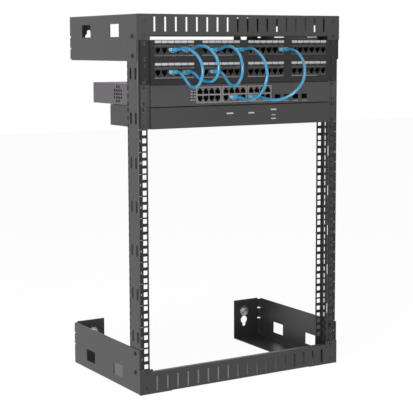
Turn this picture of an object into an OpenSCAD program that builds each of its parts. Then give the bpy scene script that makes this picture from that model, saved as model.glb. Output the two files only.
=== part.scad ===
// Wall-mount open frame rack with two posts, fifteen units tall, with four units of
// equipment bolted in at the top. X runs across the rack, Y from front to back, and Z up.
// The origin is on the floor, under the middle of the rack.

/* [Rack] */
// Number of rack units between the rails
units = 15; // [12:1:20]
// Height of one rack unit
unit_h = 44.45; // [44:0.05:46]
// Distance between the two columns of square holes, centre to centre
hole_span = 465.1; // [463:0.1:466]
// From the bottom of a unit to its first hole, and from its last hole to its top
hole_low = 6.35; // [6:0.05:6.5]
// Side of each square hole
hole_side = 9.5; // [9:0.1:10]
// From a column of square holes to the outer face of a bracket
hole_to_side = 16.45; // [15.5:0.05:20.45]
// Overall depth, from the front of the rails to the wall
frame_d = 311; // [296:1:420]
// Thickness of the folded steel sheet
sheet = 2; // [1.5:0.1:2.5]
// Radius inside the bends of the sheet
bend_r = 1; // [0.5:0.25:1.5]

/* [Posts] */
// Depth of a post, from front to back
post_d = 46; // [44:1:60]
// Steel left between the square holes and the free edge of a flange
post_rim = 2.8; // [2:0.1:6]
// Width of the cable slots in the side of a post
tie_slot_w = 7; // [5:0.5:8]
// Height of the cable slots in the side of a post
tie_slot_h = 24; // [16:1:30]
// From the front of a post to the middle of its front cable slots
tie_slot_front = 8.5; // [8.5:0.5:13]
// From the front of a post to the middle of its rear cable slots
tie_slot_rear = 29.5; // [26:0.5:31]
// Width of the narrow holes beside the rear corner of a post
edge_hole_w = 5; // [3:0.5:5]
// From the back of a post to the middle of those narrow holes
edge_hole_inset = 4.5; // [4.5:0.5:6.5]

/* [Rails] */
// Height of a rail where it crosses a post
rail_h = 51.4; // [51:0.1:60]
// How much lower a rail is between the posts
rail_step = 6.4; // [4:0.1:8]
// Gap between a post and the lip of a rail
rail_gap = 6; // [2:0.5:10]
// Depth of the lip that folds back from the inner edge of a rail
rail_lip = 11; // [8:0.5:20]
// Depth of the wide foot that folds back from its outer edge
rail_foot = 110; // [60:1:140]
// Number of slots along a rail
rail_slots = 18; // [10:1:18]
// From either end of the low stretch of a rail to its first slot
rail_slot_end = 8.25; // [6:0.25:40]
// Width of a slot in a rail
rail_slot_w = 5; // [4.5:0.1:8]
// Height of a slot in a rail
rail_slot_h = 29; // [20:0.5:32]
// From the outer edge of a rail to the middle of its slots
rail_slot_inset = 20.3; // [19:0.1:22]

/* [Brackets] */
// Height of a bracket
bracket_h = 93.5; // [92:0.5:120]
// Width of the flanges that fold inward from a bracket
bracket_flange = 74; // [64:0.5:90]
// Length of a window in the side of a bracket, from front to back
window_l = 41; // [30:1:44]
// Height of a window in the side of a bracket
window_h = 26; // [20:1:30]
// From the flanged edge of a bracket to the middle of its windows
window_inset = 32; // [30:1:40]
// From the front of the rack to the middle of the front window
window_front = 97; // [94:1:110]
// From the front of the rack to the middle of the rear window
window_rear = 227.5; // [200:0.5:240]
// From the side of a bracket to its keyhole and its wall bolt
key_side = 45.8; // [38:0.1:52]
// Diameter of the round end of a keyhole, which a bolt head passes
key_head_d = 18; // [16:0.5:20]
// Width of the narrow end of a keyhole, which holds the bolt
key_slot_w = 9; // [7:0.5:10]
// From the flanged edge of a bracket to the middle of the round end of its keyhole
key_head_inset = 44; // [42:0.5:46]
// Distance between the middles of the round end and the narrow end
key_travel = 11.5; // [9:0.5:14]
// From the flanged edge of a bracket to its wall bolt
wall_bolt_inset = 65; // [64:0.5:70]
// Diameter of a wall bolt
wall_bolt_d = 8; // [6:0.5:10]
// Diameter of the washer under a wall bolt
washer_d = 22.5; // [20:0.5:24]
// Thickness of that washer
washer_t = 1.8; // [1.5:0.1:2.5]
// Side of the small vents in the rear corner of a bracket
relief = 3; // [2:0.5:4]
// How far those vents reach round the corner, both ways
relief_reach = 7; // [5:0.5:10]

/* [Screws] */
// Diameter of the screws that hold the equipment and the rails
screw_d = 6; // [5:0.5:6]
// Diameter of the heads of those screws
screw_head_d = 11; // [9:0.5:12]
// Height of the heads of those screws
screw_head_h = 3.6; // [3:0.1:4.5]
// Length of those screws under the head
screw_l = 14; // [12:1:18]
// Diameter of the screws in the sides of the brackets
side_screw_d = 5; // [4:0.5:6]
// Diameter of the heads of the side screws
side_head_d = 9; // [8:0.5:12]
// Height of the heads of the side screws
side_head_h = 2.4; // [2:0.1:3]
// Space around a screw in its hole
screw_clear = 0.3; // [0.2:0.1:0.5]
// From the front of the rack to the side screws
side_screw_y = 21; // [19:0.5:23]
// From the flanged edge of a bracket to its first side screw
side_screw_low = 44; // [42:1:48]
// From the free edge of a bracket to its second side screw
side_screw_edge = 10.5; // [7:0.5:14]
// From the outer edge of a rail to its first screw
rail_screw_low = 12.4; // [10:0.1:14]
// From the edge of a rail where it crosses a post to its second screw
rail_screw_edge = 6.9; // [6:0.1:12]
// Side of the body of a cage nut
cage_nut_w = 12.6; // [12:0.1:13]
// Depth of the body of a cage nut
cage_nut_d = 5.5; // [4:0.5:7]

/* [Equipment] */
// From a column of square holes to the end of an ear
ear_edge = 8.75; // [8:0.05:9]
// Thickness of a front plate
plate_t = 2; // [1.5:0.1:2.5]
// Space left between the front plates of two units
plate_gap = 0.8; // [0.6:0.1:1.6]
// Space between the equipment and a post on either side
body_gap = 5; // [3:0.5:10]
// Width of the slots for screws in an ear
ear_slot_w = 9; // [8:0.5:10]
// Height of the slots for screws in an ear
ear_slot_h = 6.8; // [6.7:0.1:7.5]

/* [Patch panels] */
// How far a patch panel stands in front of the rack
panel_proud = 4; // [3:0.5:6]
// Depth of the lips that fold back from a patch panel
panel_lip = 12; // [8:1:20]
// Number of ports in one block
block_ports = 6; // [4:1:6]
// Distance from one port to the next
port_pitch = 15.2; // [15:0.1:15.4]
// From the end of a patch panel to its first block of ports
block_end = 8.8; // [5:0.1:20]
// Height of a block of ports
block_h = 21; // [19:0.5:22]
// Depth of a block of ports behind the front plate
block_d = 20; // [14:1:26]
// Width of the opening of a port
port_w = 11.8; // [11:0.1:12]
// Height of the opening of a port
port_h = 8; // [7:0.1:8.4]
// Depth of a port
port_depth = 13; // [12:0.5:14]
// Width of the notch for the latch of a plug
latch_w = 6.2; // [5:0.1:7]
// Height of the notch for the latch of a plug
latch_h = 3.4; // [3:0.1:3.6]
// From the bottom of a unit to the middle of its ports
port_z = 23.2; // [22:0.1:24]
// From the top of a unit to the middle of its label strips
label_top = 3.85; // [3.5:0.05:5]
// Height of a label strip
label_h = 5.6; // [4:0.1:5.8]
// Thickness of a label strip
label_t = 0.8; // [0.6:0.1:1.2]
// Height of the row of wire terminals behind a block
terminal_h = 16; // [12:1:18]
// Depth of the row of wire terminals behind a block
terminal_d = 14; // [10:1:18]

/* [Switch] */
// Depth of the switch behind the front of the rack
switch_d = 256; // [200:1:270]
// How far the front of the switch stands in front of the rack
box_proud = 6; // [4:0.5:8]
// Thickness of the moulded front of a case
fascia_t = 4; // [3:0.5:5]
// Number of ports across one group of the switch
group_ports = 4; // [2:1:4]
// Distance from one port of the switch to the next
switch_pitch = 13.9; // [13.6:0.1:14]
// Space between one group of ports and the next
group_gap = 6.4; // [4:0.1:8]
// Middle of the three groups of ports, measured across the rack
groups_x = -24.5; // [-30:0.5:-20]
// Height of a group of ports
group_h = 30; // [29:0.5:32]
// Distance between the two rows of ports
row_pitch = 14.6; // [13:0.1:15]
// From the bottom of a unit to the middle of the groups of ports
group_z = 22; // [21:0.5:23]
// Number of slots for fibre modules
fibre_slots = 4; // [2:1:4]
// Space between one fibre slot and the next
fibre_gap = 8.5; // [4:0.5:12]
// Width of a fibre slot
fibre_w = 14.5; // [13:0.5:16]
// Height of a fibre slot
fibre_h = 9.5; // [9:0.5:11]
// Depth of a fibre slot
fibre_depth = 30; // [20:1:40]
// From the last group of ports to the first fibre slot
fibre_start = 10.95; // [6:0.05:20]
// From the bottom of a unit to the middle of the fibre slots
fibre_z = 14; // [12:0.5:16]
// From the front of the rack to the middle of the vents in the side of the switch
vent_y = 140; // [120:1:160]
// Width of one vent
vent_w = 5.6; // [3:0.2:6]
// Height of one vent
vent_h = 5; // [4:0.5:6]

/* [Console] */
// Depth of the console unit behind the front of the rack
console_d = 176; // [150:1:220]

/* [Hidden] */

$fn = 48;
cut = 1;                                   // overshoot of a cutting tool
fold_gap = 1;                              // space between the lip of a rail and a bracket
frame_h = units * unit_h + 2 * rail_h;     // overall height
hole_x = hole_span / 2;
frame_w = hole_span + 2 * hole_to_side;    // overall width, over the brackets
post_out = frame_w / 2 - sheet;            // outer face of a post's web
post_in = hole_x - hole_side / 2 - post_rim;
HOLES = [hole_low, unit_h / 2, unit_h - hole_low];
ear_x = hole_x + ear_edge;                 // end of an ear
body_x = post_in - body_gap;               // side of the equipment between the posts
step_x = post_in - rail_gap;               // end of the low stretch of a rail
key_x = frame_w / 2 - key_side;            // middle of a keyhole and of a wall bolt
SIDE_SCREWS = [side_screw_low, bracket_h - side_screw_edge];
RAIL_SCREWS = [rail_screw_low, rail_h - rail_screw_edge];
block_w = block_ports * port_pitch;
block_pitch = (2 * body_x - 2 * block_end - block_w) / 3;
group_w = group_ports * switch_pitch;
group_pitch = group_w + group_gap;
front_reach = max(panel_proud + label_t, box_proud, screw_head_h, screw_head_h + plate_t - sheet);
front_y = (front_reach - frame_d) / 2;     // front face of the rails
post_y = front_y + sheet;                  // front face of the posts
wall_y = front_y + frame_d;                // back face of the wall flanges
SIDES = [-1, 1];

// The units that are fitted, counted from the bottom
UPPER = units;
LOWER = units - 1;
SWITCH = units - 2;
CONSOLE = units - 3;

steel = [0.16, 0.16, 0.165];
dark = [0.10, 0.10, 0.105];
case_grey = [0.30, 0.29, 0.31];
silver = [0.72, 0.72, 0.74];
blue = [0.16, 0.55, 0.80];

function unit_z(u) = rail_h + (u - 1) * unit_h;
function block_x(b) = (b - 1.5) * block_pitch;
function port_x(p) = block_x(floor((p - 1) / block_ports))
    + ((p - 1) % block_ports - (block_ports - 1) / 2) * port_pitch;
function group_x(g) = groups_x + (g - 1) * group_pitch;
function fibre_x(i) = group_x(2) + group_w / 2 + fibre_start + fibre_w / 2 + i * (fibre_w + fibre_gap);
function switch_port_x(g, c) = group_x(g) + (c - (group_ports - 1) / 2) * switch_pitch;
function switch_port_z(row) = unit_z(SWITCH) + group_z + row * (row_pitch - latch_h) / 2;

// A box given by its low and high corners
module span(low, high) { translate(low) cube(high - low); }

// A cylinder along Y, from y0 to y1
module rod_y(x, z, d, y0, y1) {
    translate([x, y1, z]) rotate([90, 0, 0]) cylinder(d = d, h = y1 - y0);
}

// A cylinder along X, from x0 to x1
module rod_x(y, z, d, x0, x1) {
    translate([x0, y, z]) rotate([0, 90, 0]) cylinder(d = d, h = x1 - x0);
}

// A flat shape made in X and Z, drawn out from y0 to y1
module along_y(y0, y1) { translate([0, y1, 0]) rotate([90, 0, 0]) linear_extrude(y1 - y0) children(); }

// A flat shape made in Y and Z, drawn out from x0 to x1
module along_x(x0, x1) { translate([x0, 0, 0]) rotate([90, 0, 90]) linear_extrude(x1 - x0) children(); }

// A rectangle whose far corner is round, and also the corner before it when both is true
module bent(low, high, r, both) {
    size = high - low;
    start = both ? r : 0;
    translate(low) square([size[0] - r, size[1]]);
    translate(low + [0, start]) square([size[0], size[1] - r - start]);
    translate(high - [r, r]) circle(r);
    if (both) translate([high[0] - r, low[1] + r]) circle(r);
}

// Something made for the right side, set on the left
module flip_x() { mirror([1, 0, 0]) children(); }

// Something made at the bottom, set at the top
module flip_z() { translate([0, 0, frame_h]) mirror([0, 0, 1]) children(); }

// ---- frame ----

// A slot with round ends through the web of a post
module tie_slot(y, z) {
    straight = tie_slot_h - tie_slot_w;
    span([post_out - sheet - cut, y - tie_slot_w / 2, z - straight / 2],
        [post_out + cut, y + tie_slot_w / 2, z + straight / 2]);
    for (s = SIDES)
        rod_x(y, z + s * straight / 2, tie_slot_w, post_out - sheet - cut, post_out + cut);
}

// A right-hand post: a channel that opens towards the middle of the rack
module post() {
    difference() {
        translate([0, 0, sheet + bend_r]) linear_extrude(frame_h - 2 * (sheet + bend_r))
            difference() {
                bent([post_in, post_y], [post_out, post_y + post_d], sheet + bend_r, true);
                bent([post_in - cut, post_y + sheet], [post_out - sheet, post_y + post_d - sheet],
                    bend_r, true);
            }
        for (u = [1 : units], h = HOLES) {
            z = unit_z(u) + h;
            span([hole_x - hole_side / 2, post_y - cut, z - hole_side / 2],
                [hole_x + hole_side / 2, post_y + post_d + cut, z + hole_side / 2]);
            span([post_out - sheet - cut, post_y + post_d - edge_hole_inset - edge_hole_w / 2,
                    z - hole_side / 2],
                [post_out + cut, post_y + post_d - edge_hole_inset + edge_hole_w / 2,
                    z + hole_side / 2]);
        }
        for (u = [2 : 2 : units], y = [tie_slot_front, tie_slot_rear])
            tie_slot(post_y + y, unit_z(u) + unit_h / 2);
        for (h = SIDE_SCREWS, z = [h, frame_h - h])
            rod_x(front_y + side_screw_y, z, side_screw_d + 2 * screw_clear,
                post_out - sheet - cut, post_out + cut);
        for (h = RAIL_SCREWS, z = [h, frame_h - h])
            rod_y(hole_x, z, screw_d + 2 * screw_clear, post_y - cut, post_y + sheet + cut);
    }
}

// A stretch of rail from x0 to x1, with the upper lip, and with the wide foot when both is true
module rail_stretch(x0, x1, top, both) {
    along_x(x0, x1) mirror([1, 0])
        difference() {
            bent([-front_y - rail_lip, 0], [-front_y, top], sheet + bend_r, both);
            bent([-front_y - rail_lip - cut, both ? sheet : -cut], [-front_y - sheet, top - sheet],
                bend_r, both);
        }
    if (both)
        span([x0, front_y + rail_lip - cut, 0], [x1, front_y + rail_foot, sheet]);
}

// The bottom rail: a slotted plate with a lip along its upper edge and a wide foot below
module rail() {
    lip_x = frame_w / 2 - bracket_flange - fold_gap;
    top = rail_h - rail_step;
    slot_pitch = (2 * step_x - 2 * rail_slot_end - rail_slot_w) / (rail_slots - 1);
    difference() {
        union() {
            for (s = [[-frame_w / 2, -step_x], [step_x, frame_w / 2]])
                span([s[0], front_y, 0], [s[1], front_y + sheet, rail_h]);
            rail_stretch(-step_x, -lip_x, top, false);
            rail_stretch(-lip_x, lip_x, top, true);
            rail_stretch(lip_x, step_x, top, false);
        }
        for (i = [0 : rail_slots - 1]) {
            x = (i - (rail_slots - 1) / 2) * slot_pitch;
            span([x - rail_slot_w / 2, front_y - cut, rail_slot_inset - rail_slot_h / 2],
                [x + rail_slot_w / 2, front_y + sheet + cut, rail_slot_inset + rail_slot_h / 2]);
        }
        for (s = SIDES, z = RAIL_SCREWS)
            rod_y(s * hole_x, z, screw_d + 2 * screw_clear, front_y - cut, front_y + sheet + cut);
    }
}

// A keyhole in the wall flange, whose narrow end points to the flanged edge
module keyhole() {
    low = key_head_inset - key_travel;
    rod_y(key_x, key_head_inset, key_head_d, wall_y - sheet - cut, wall_y + cut);
    rod_y(key_x, low, key_slot_w, wall_y - sheet - cut, wall_y + cut);
    span([key_x - key_slot_w / 2, wall_y - sheet - cut, low],
        [key_x + key_slot_w / 2, wall_y + cut, key_head_inset]);
}

// The bottom right bracket: a side plate with a foot flange and a wall flange
module bracket() {
    out = frame_w / 2;
    inner = out - bracket_flange;
    difference() {
        intersection() {
            linear_extrude(bracket_h) bent([inner, post_y], [out, wall_y], sheet + bend_r, false);
            along_y(post_y, wall_y) mirror([0, 1])
                bent([inner, -bracket_h], [out, 0], sheet + bend_r, false);
        }
        intersection() {
            linear_extrude(bracket_h + cut)
                bent([inner - cut, post_y - cut], [out - sheet, wall_y - sheet], bend_r, false);
            along_y(post_y - cut, wall_y) mirror([0, 1])
                bent([inner - cut, -bracket_h - cut], [out - sheet, -sheet], bend_r, false);
        }
        for (y = [window_front, window_rear])
            span([out - sheet - cut, front_y + y - window_l / 2, window_inset - window_h / 2],
                [out + cut, front_y + y + window_l / 2, window_inset + window_h / 2]);
        for (z = SIDE_SCREWS)
            rod_x(front_y + side_screw_y, z, side_screw_d + 2 * screw_clear,
                out - sheet - cut, out + cut);
        for (z = [window_inset + window_h / 2, bracket_h * 3 / 4, bracket_h])
            span([out - relief_reach, wall_y - relief_reach, z - relief],
                [out + cut, wall_y + cut, z + (z == bracket_h ? cut : 0)]);
        keyhole();
        rod_y(key_x, wall_bolt_inset, wall_bolt_d + 2 * screw_clear,
            wall_y - sheet - cut, wall_y + cut);
    }
}

// ---- fasteners ----

head_top = 0.72;      // width of the top of a screw head, as a share of the whole head
cross_l = 0.56;       // length of the cross recess, likewise
cross_w = 0.12;       // width of the arms of the cross, likewise

// A pan head screw that points to +Y, with the underside of its head at the origin
module screw(d, head_d, head_h, length) {
    edge = head_h * 2 / 3;
    rotate([-90, 0, 0]) {
        cylinder(d = d, h = length);
        difference() {
            union() {
                translate([0, 0, -edge]) cylinder(d = head_d, h = edge);
                translate([0, 0, -head_h])
                    cylinder(d1 = head_top * head_d, d2 = head_d, h = head_h - edge);
            }
            for (a = [0, 90]) rotate(a)
                translate([-cross_l / 2 * head_d, -cross_w / 2 * head_d, -head_h - cut])
                    cube([cross_l * head_d, cross_w * head_d, head_h / 2 + cut]);
        }
    }
}

// Places what it is given at all four wall bolts
module at_wall_bolts() {
    for (x = SIDES, z = [wall_bolt_inset, frame_h - wall_bolt_inset])
        translate([x * key_x, wall_y - sheet, z]) children();
}

// Places what it is given at all the screws of the fitted equipment
module at_equipment_screws() {
    for (u = [CONSOLE : UPPER], s = SIDES, h = [HOLES[0], HOLES[2]])
        translate([s * hole_x, post_y, unit_z(u) + h]) children();
}

hex_h = 0.65;         // height of a hexagon head, as a share of the bolt's diameter
hex_corners = 1.85;   // its width over the corners, likewise

module wall_bolt() {
    translate([0, -washer_t, 0]) rotate([-90, 0, 0]) {
        cylinder(d = wall_bolt_d, h = washer_t + sheet);
        translate([0, 0, -hex_h * wall_bolt_d])
            cylinder(d = hex_corners * wall_bolt_d, h = hex_h * wall_bolt_d, $fn = 6);
    }
}

module cage_nut() {
    boss = hole_side - 2 * screw_clear;
    difference() {
        union() {
            span([-boss / 2, 0, -boss / 2], [boss / 2, sheet, boss / 2]);
            span([-cage_nut_w / 2, sheet, -cage_nut_w / 2],
                [cage_nut_w / 2, sheet + cage_nut_d, cage_nut_w / 2]);
        }
        rod_y(0, 0, screw_d + 2 * screw_clear, -cut, sheet + cage_nut_d + cut);
    }
}

// ---- equipment ----

// The slots for screws in both ears of a unit
module ear_slots(u, y0, y1) {
    straight = ear_slot_w - ear_slot_h;
    for (s = SIDES, h = [HOLES[0], HOLES[2]]) {
        z = unit_z(u) + h;
        span([s * hole_x - straight / 2, y0, z - ear_slot_h / 2],
            [s * hole_x + straight / 2, y1, z + ear_slot_h / 2]);
        for (e = SIDES) rod_y(s * hole_x + e * straight / 2, z, ear_slot_h, y0, y1);
    }
}

// The folded plate of a patch panel, with its middle pressed forward between the ears
module panel_plate(u) {
    z0 = unit_z(u) + plate_gap / 2;
    z1 = unit_z(u + 1) - plate_gap / 2;
    back = post_y - plate_t;
    face = front_y - panel_proud;
    difference() {
        union() {
            span([-ear_x, back, z0], [ear_x, post_y, z1]);
            span([-body_x, face, z0], [body_x, post_y + panel_lip, z1]);
        }
        span([-body_x + plate_t, face + plate_t, z0 + plate_t],
            [body_x - plate_t, post_y + panel_lip + cut, z1 - plate_t]);
        for (b = [0 : 3])
            span([block_x(b) - block_w / 2, face - cut, unit_z(u) + port_z - block_h / 2],
                [block_x(b) + block_w / 2, face + plate_t + cut, unit_z(u) + port_z + block_h / 2]);
        ear_slots(u, back - cut, post_y + cut);
    }
}

// The opening of one port, with the notch for the latch below it, or above it when way is 1
module port_hole(x, face, z, way) {
    span([x - port_w / 2, face - cut, z - port_h / 2], [x + port_w / 2, face + port_depth, z + port_h / 2]);
    span([x - latch_w / 2, face - cut, z + (way > 0 ? 0 : -port_h / 2 - latch_h)],
        [x + latch_w / 2, face + port_depth, z + (way > 0 ? port_h / 2 + latch_h : 0)]);
}

// The four blocks of ports of a patch panel
module panel_blocks(u) {
    face = front_y - panel_proud;
    z = unit_z(u) + port_z;
    w = block_w - 2 * screw_clear;
    h = block_h - 2 * screw_clear;
    for (b = [0 : 3])
        difference() {
            span([block_x(b) - w / 2, face, z - h / 2], [block_x(b) + w / 2, face + block_d, z + h / 2]);
            for (p = [1 : block_ports])
                port_hole(port_x(b * block_ports + p), face, z + latch_h / 2, -1);
        }
}

// The white strips above the ports
module panel_labels(u) {
    face = front_y - panel_proud;
    w = block_w - 2 * screw_clear;
    for (b = [0 : 3])
        span([block_x(b) - w / 2, face - label_t, unit_z(u + 1) - label_top - label_h / 2],
            [block_x(b) + w / 2, face, unit_z(u + 1) - label_top + label_h / 2]);
}

// The wire terminals behind the ports, in two rows on each block
module panel_terminals(u) {
    y0 = front_y - panel_proud + block_d;
    z = unit_z(u) + port_z;
    w = block_w - 2 * screw_clear;
    for (b = [0 : 3])
        difference() {
            span([block_x(b) - w / 2, y0, z - block_h / 2],
                [block_x(b) + w / 2, y0 + terminal_d, z + block_h / 2]);
            span([block_x(b) - w / 2 - cut, y0 + terminal_d / 2, z - (block_h - terminal_h) / 2],
                [block_x(b) + w / 2 + cut, y0 + terminal_d + cut, z + (block_h - terminal_h) / 2]);
        }
}

// The steel case of a unit, closed, from behind its front to its back
module case(u, depth) {
    span([-body_x, post_y, unit_z(u) + plate_gap / 2],
        [body_x, front_y + depth, unit_z(u + 1) - plate_gap / 2]);
}

// The moulded front of a case
module fascia(u) {
    face = front_y - box_proud;
    span([-body_x, face, unit_z(u) + plate_gap / 2],
        [body_x, post_y, unit_z(u + 1) - plate_gap / 2]);
}

// The two flat ears that hold a case in the rack
module ears(u) {
    difference() {
        for (s = SIDES)
            span([s > 0 ? body_x : -ear_x, post_y - plate_t, unit_z(u) + plate_gap / 2],
                [s > 0 ? ear_x : -body_x, post_y, unit_z(u + 1) - plate_gap / 2]);
        ear_slots(u, post_y - plate_t - cut, post_y + cut);
    }
}

cage_wall = 1;        // thickness of the sheet around a fibre slot

// The room that the port groups and the fibre cages of the switch take in its front
module switch_bays(clear) {
    w = group_w + 2 * clear;
    z = unit_z(SWITCH);
    for (g = [0 : 2])
        span([group_x(g) - w / 2, front_y - box_proud - cut, z + group_z - group_h / 2 - clear],
            [group_x(g) + w / 2, post_y + block_d + clear, z + group_z + group_h / 2 + clear]);
    for (i = [0 : fibre_slots - 1])
        span([fibre_x(i) - fibre_w / 2 - cage_wall - clear, front_y - box_proud - cut,
                z + fibre_z - fibre_h / 2 - cage_wall - clear],
            [fibre_x(i) + fibre_w / 2 + cage_wall + clear, post_y + fibre_depth + clear,
                z + fibre_z + fibre_h / 2 + cage_wall + clear]);
}

vent_columns = 4;
vent_rows = 5;
column_step = 1.75;   // from one column of vents to the next, in vent widths
row_step = 1.46;      // from one row of vents to the next, in vent heights
vent_d = 8;

// The vents in both sides of the switch, with the corners of each field left closed
module side_vents() {
    for (s = SIDES, i = [0 : vent_columns - 1], j = [0 : vent_rows - 1])
        if ((i > 0 && i < vent_columns - 1) || (j > 0 && j < vent_rows - 1))
            translate([s * body_x, front_y + vent_y + (i - (vent_columns - 1) / 2) * column_step * vent_w,
                unit_z(SWITCH) + unit_h / 2 + (j - (vent_rows - 1) / 2) * row_step * vent_h])
                cube([2 * vent_d, vent_w, vent_h], center = true);
}

// ---- patch leads ----

lead_d = 6;          // thickness of a lead
plug_reach = 24;     // how far a plug and its boot stand out of a port
boot_d = 9;          // thickness of a boot
boot_l = 14;         // length of a boot
plug_free = 0.5;     // space between a plug and its port
lead_sides = 10;

// The way of each lead from its first plug to just short of its second: how far behind its
// first plug, how far to the right, and how far up, so forward, left and down are negative
WAY_1 = [[0, 0, 0], [-12, 0, 1], [-27, 0, 3], [-42, 0, 1.5], [-57, 0, -2.5], [-71, 0, -8],
    [-84, 0, -16], [-94, 0, -27], [-98, 0, -40], [-95, 0, -53], [-87, 0, -64], [-75, 0, -71],
    [-62, 0, -73], [-50, 0, -70], [-39, 0, -63.5], [-28, 0, -55.5], [-18, 0, -48.5],
    [-9, 0, -45]];
WAY_2 = [[0, 0, 0], [-13, 0, 2.5], [-29, 0, 6], [-45, 0, 7], [-61, 0, 5], [-76, 0, 0],
    [-90, 0, -8], [-101, 0, -18], [-107, 0, -31], [-105, 0, -44], [-97, 0, -54], [-85, 0, -60],
    [-71, 0, -62], [-56, 0, -61.5], [-42, 0, -59], [-29, 0, -54.5], [-18, 0, -48.5],
    [-9, 0, -45]];
WAY_3 = [[0, 0, 0], [-12, 0, 2], [-26, 0, 5], [-40, 0, 6], [-54, 0, 4], [-67, 0, -1],
    [-79, 0, -9], [-87, 0, -20], [-91, 0, -33], [-90, 0, -46], [-84, 0, -58], [-74, 0, -67],
    [-62, 0, -71], [-50, 0, -70], [-39, 0, -65.5], [-28, 0, -57.5], [-18, 0, -49.5],
    [-9, 0, -45.2]];
WAY_4 = [[0, 0, 0], [-13, 0, 1.5], [-28, -0.5, 2], [-43, -1, -1], [-58, -2, -6.5],
    [-72, -3, -14], [-84, -4, -24], [-92, -5, -37], [-96, -6, -51], [-94, -7.5, -65],
    [-88, -9, -78], [-77, -10.5, -89], [-63, -12, -97], [-48, -13.2, -101], [-34, -14, -101.5],
    [-20, -14.25, -99.3], [-11, -14.25, -97.9]];
WAY_5 = [[0, 0, 0], [-12, -0.5, 0], [-27, -2, -2.5], [-43, -4.5, -8], [-58, -8, -15],
    [-72, -12, -24], [-84, -17, -35], [-93, -23, -48], [-98, -30, -62], [-97, -38, -75],
    [-91, -46, -86], [-81, -54, -94.5], [-68, -61.5, -100], [-54, -68, -102.5],
    [-40, -72.5, -102.3], [-26, -75.5, -100], [-13, -76.5, -97.9]];

PORTS = [3, 5, 8, 12, 18];            // the upper ports that the leads leave

function way(k) = [WAY_1, WAY_2, WAY_3, WAY_4, WAY_5][k - 1];
function lead_start(k) = [port_x(PORTS[k - 1]), front_y - panel_proud - plug_reach,
    unit_z(UPPER) + port_z + latch_h / 2];

// Where the second plug of a lead starts: in the lower patch panel, or in the switch
function lead_end(k) = k <= 3
    ? [port_x(PORTS[k - 1]), lead_start(k)[1], unit_z(LOWER) + port_z + latch_h / 2]
    : [switch_port_x(k - 3, k == 4 ? 1 : 0), front_y - box_proud - plug_reach, switch_port_z(-1)];

function lead_points(k) = concat([for (p = way(k)) lead_start(k) + [p[1], p[0], p[2]]], [lead_end(k)]);
function unit(v) = v / norm(v);

// A tube of round section swept along points, closed at both ends
module tube(points, d) {
    n = len(points);
    tangents = [for (i = [0 : n - 1]) unit(i == 0 || i == n - 1 ? [0, i == 0 ? -1 : 1, 0]
        : points[i + 1] - points[i - 1])];
    rings = [for (i = [0 : n - 1]) let (
            t = tangents[i],
            side = unit(cross(t, [1, 0, 0])),
            up = cross(side, t))
        [for (j = [0 : lead_sides - 1]) let (a = 360 * j / lead_sides)
            points[i] + d / 2 * (side * cos(a) + up * sin(a))]];
    walls = [for (i = [0 : n - 2], j = [0 : lead_sides - 1]) let (
            a = i * lead_sides + j,
            b = i * lead_sides + (j + 1) % lead_sides)
        each [[a, b, b + lead_sides], [a, b + lead_sides, a + lead_sides]]];
    polyhedron(points = [for (ring = rings, p = ring) p],
        faces = concat([[for (j = [lead_sides - 1 : -1 : 0]) j]], walls,
            [[for (j = [0 : lead_sides - 1]) (n - 1) * lead_sides + j]]));
}

module lead(k) { color(blue) tube(lead_points(k), lead_d); }

// One plug with its boot, whose back faces -Y at the origin
module plug() {
    half = [port_w / 2 - plug_free, port_h / 2 - plug_free];
    rod_y(0, 0, boot_d, 0, boot_l);
    span([-half[0], boot_l - cut, -half[1]], [half[0], plug_reach + port_depth - 2 * cut, half[1]]);
}

module lead_plugs(k) {
    color(blue) {
        translate(lead_start(k)) plug();
        translate(lead_end(k)) plug();
    }
}

// ---- nodes ----

module left_post() { color(steel) flip_x() post(); }
module right_post() { color(steel) post(); }
module top_rail() { color(steel) flip_z() rail(); }
module bottom_rail() { color(steel) rail(); }
module bottom_right_bracket() { color(steel) bracket(); }
module bottom_left_bracket() { color(steel) flip_x() bracket(); }
module top_right_bracket() { color(steel) flip_z() bracket(); }
module top_left_bracket() { color(steel) flip_z() flip_x() bracket(); }

module wall_bolts() { color(silver) at_wall_bolts() wall_bolt(); }

module wall_washers() {
    color(silver) at_wall_bolts()
        difference() {
            rod_y(0, 0, washer_d, -washer_t, 0);
            rod_y(0, 0, wall_bolt_d + 2 * screw_clear, -washer_t - cut, cut);
        }
}

module rail_screws() {
    color(dark)
        for (s = SIDES, h = RAIL_SCREWS, z = [h, frame_h - h])
            translate([s * hole_x, front_y, z])
                screw(screw_d, screw_head_d, screw_head_h, screw_l);
}

module bracket_screws() {
    color(dark)
        for (s = SIDES, h = SIDE_SCREWS, z = [h, frame_h - h])
            translate([s * frame_w / 2, front_y + side_screw_y, z])
                rotate([0, 0, s * 90]) screw(side_screw_d, side_head_d, side_head_h, 2 * sheet + 4);
}

module equipment_screws() {
    color(dark) at_equipment_screws()
        translate([0, -plate_t, 0]) screw(screw_d, screw_head_d, screw_head_h, screw_l);
}

module cage_nuts() { color(silver) at_equipment_screws() cage_nut(); }

module upper_panel() { color(dark) panel_plate(UPPER); }
module upper_panel_ports() { color(dark) panel_blocks(UPPER); }
module upper_panel_labels() { color("white") panel_labels(UPPER); }
module upper_panel_terminals() { color("dimgray") panel_terminals(UPPER); }
module lower_panel() { color(dark) panel_plate(LOWER); }
module lower_panel_ports() { color(dark) panel_blocks(LOWER); }
module lower_panel_labels() { color("white") panel_labels(LOWER); }
module lower_panel_terminals() { color("dimgray") panel_terminals(LOWER); }

module switch_case() {
    color(case_grey)
        difference() {
            case(SWITCH, switch_d);
            switch_bays(screw_clear);
            side_vents();
        }
}

module switch_fascia() {
    color(case_grey)
        difference() {
            fascia(SWITCH);
            switch_bays(screw_clear);
        }
}

module switch_ears() { color(case_grey) ears(SWITCH); }

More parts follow.
